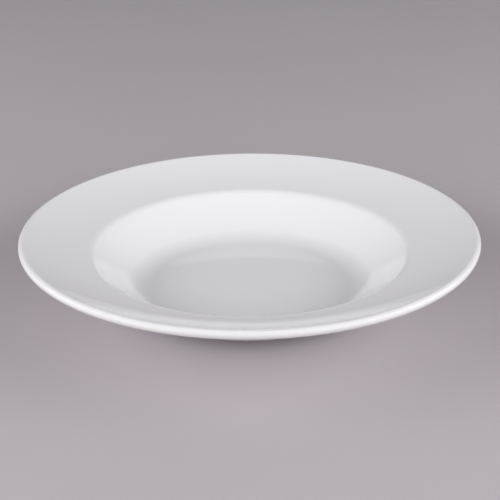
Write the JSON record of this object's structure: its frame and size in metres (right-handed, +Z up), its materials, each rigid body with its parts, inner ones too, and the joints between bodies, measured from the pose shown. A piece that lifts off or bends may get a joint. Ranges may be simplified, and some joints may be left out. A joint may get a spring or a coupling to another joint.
{
  "type": "rimmed soup plate",
  "caption": "Round deep plate with a wide sloping rim, a rounded edge, a conical well with a flat floor and a low foot ring; holds soup or a moist dish.",
  "frame": {"origin": "on the plate's axis, at the level of the table that the foot ring stands on", "axes": "+Z up along the plate's axis; the plate is round, so +X and +Y are any two directions square to each other"},
  "size_m": [0.23, 0.23, 0.035],
  "materials": {
    "bare_porcelain": "fired and ground, unglazed, matt with a fine grain",
    "face_glaze": "bright white gloss glaze, faintly wavy, thinner over the edge",
    "base_glaze": "white gloss glaze inside the foot ring"
  },
  "bodies": {
    "root": {"porcelain_body": "bare_porcelain", "face_glaze": "face_glaze", "base_glaze": "base_glaze"}
  },
  "joints": []
}
